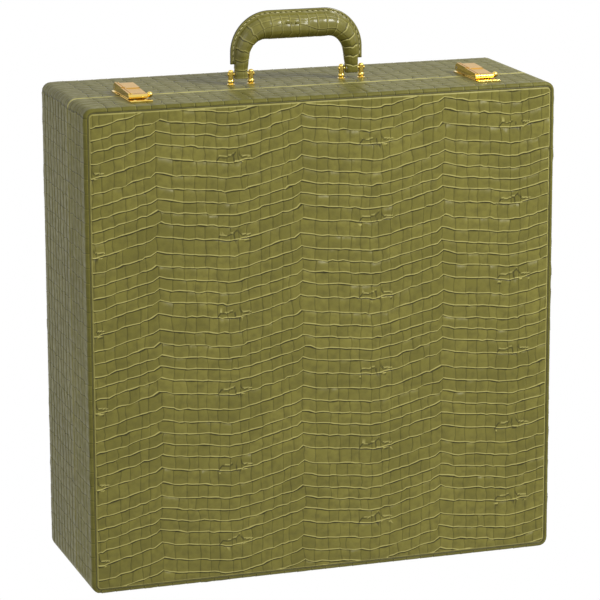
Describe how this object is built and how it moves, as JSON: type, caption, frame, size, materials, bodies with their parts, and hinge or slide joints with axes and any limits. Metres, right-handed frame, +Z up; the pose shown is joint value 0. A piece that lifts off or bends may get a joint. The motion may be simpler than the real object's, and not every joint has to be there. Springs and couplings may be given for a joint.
{
  "type": "chess box",
  "caption": "Square upright chess box in crocodile-grain leather: hinged lid, latches, rolled carrying handle and lift-out trays with compartments inside.",
  "frame": {"origin": "on the floor under the middle of the closed case, standing on its hinge side", "axes": "+X to the viewer's right, +Y from the lid to the back of the base, +Z up towards the handle"},
  "size_m": [0.432, 0.152, 0.497],
  "materials": {
    "croc_leather": "glossy olive crocodile-grain leather",
    "wood": "bare plywood and poplar boards",
    "velvet": "camel velvet",
    "ribbon": "olive satin ribbon",
    "gilt_brass": "polished gilt",
    "steel": "zinc-plated steel"
  },
  "bodies": {
    "base": {"base_frame": "wood", "base_board": "wood", "base_wrap": "croc_leather", "base_foot_leather": "croc_leather", "base_panel": "croc_leather", "base_piping": "croc_leather", "base_side_lining": "velvet", "base_back_lining": "velvet", "base_valance": "velvet", "handle_posts": "gilt_brass", "handle_pins": "gilt_brass", "handle_nuts": "steel", "handle_washers": "steel", "hinge_leaves_base": "gilt_brass", "hinge_screws_base": "gilt_brass", "hinge_pins": "steel", "latch_plates": "gilt_brass", "latch_rivets": "gilt_brass", "hasp_pins": "gilt_brass", "hasp_springs": "steel"},
    "lid": {"lid_frame": "wood", "lid_board": "wood", "lid_wrap": "croc_leather", "lid_foot_leather": "croc_leather", "lid_panel": "croc_leather", "lid_piping": "croc_leather", "lid_side_lining": "velvet", "lid_cushion": "velvet", "hinge_leaves_lid": "gilt_brass", "hinge_screws_lid": "gilt_brass", "catch_plates": "gilt_brass", "catch_rivets": "gilt_brass"},
    "handle": {"handle_grip": "croc_leather", "handle_core": "steel", "handle_welt": "croc_leather"},
    "hasp_left": {"hasp_left": "gilt_brass"},
    "hasp_right": {"hasp_right": "gilt_brass"},
    "release_left": {"release_left": "gilt_brass"},
    "release_right": {"release_right": "gilt_brass"},
    "lower_tray": {"lower_tray_cross_dividers": "velvet", "lower_tray_floor": "velvet", "lower_tray_long_dividers": "velvet", "lower_tray_ribbons": "ribbon", "lower_tray_rim": "velvet"},
    "upper_tray": {"upper_tray_cross_dividers": "velvet", "upper_tray_floor": "velvet", "upper_tray_long_dividers": "velvet", "upper_tray_ribbons": "ribbon", "upper_tray_rim": "velvet"}
  },
  "joints": [
    {"name": "lid_hinge", "type": "hinge", "parent": "base", "child": "lid", "pos_m": [0, -0.02, 0.0032], "axis": [1, 0, 0], "range_deg": [0, 95]},
    {"name": "handle_pivot", "type": "hinge", "parent": "base", "child": "handle", "pos_m": [0, 0.004, 0.4415], "axis": [1, 0, 0], "range_deg": [-85, 85]},
    {"name": "hasp_left_hinge", "type": "hinge", "parent": "base", "child": "hasp_left", "pos_m": [-0.16, 0.0005, 0.4367], "axis": [-1, 0, 0], "range_deg": [0, 100]},
    {"name": "release_left_slide", "type": "slide", "parent": "lid", "child": "release_left", "axis": [1, 0, 0], "range_m": [0, 0.0038], "stiffness_N_per_m": 200},
    {"name": "hasp_right_hinge", "type": "hinge", "parent": "base", "child": "hasp_right", "pos_m": [0.16, 0.0005, 0.4367], "axis": [-1, 0, 0], "range_deg": [0, 100]},
    {"name": "release_right_slide", "type": "slide", "parent": "lid", "child": "release_right", "axis": [1, 0, 0], "range_m": [0, 0.0038], "stiffness_N_per_m": 200},
    {"name": "lower_tray_lift", "type": "slide", "parent": "base", "child": "lower_tray", "axis": [0, -1, 0], "range_m": [0, 0.0045]},
    {"name": "upper_tray_lift", "type": "slide", "parent": "lower_tray", "child": "upper_tray", "axis": [0, -1, 0], "range_m": [0, 0.0045]}
  ]
}
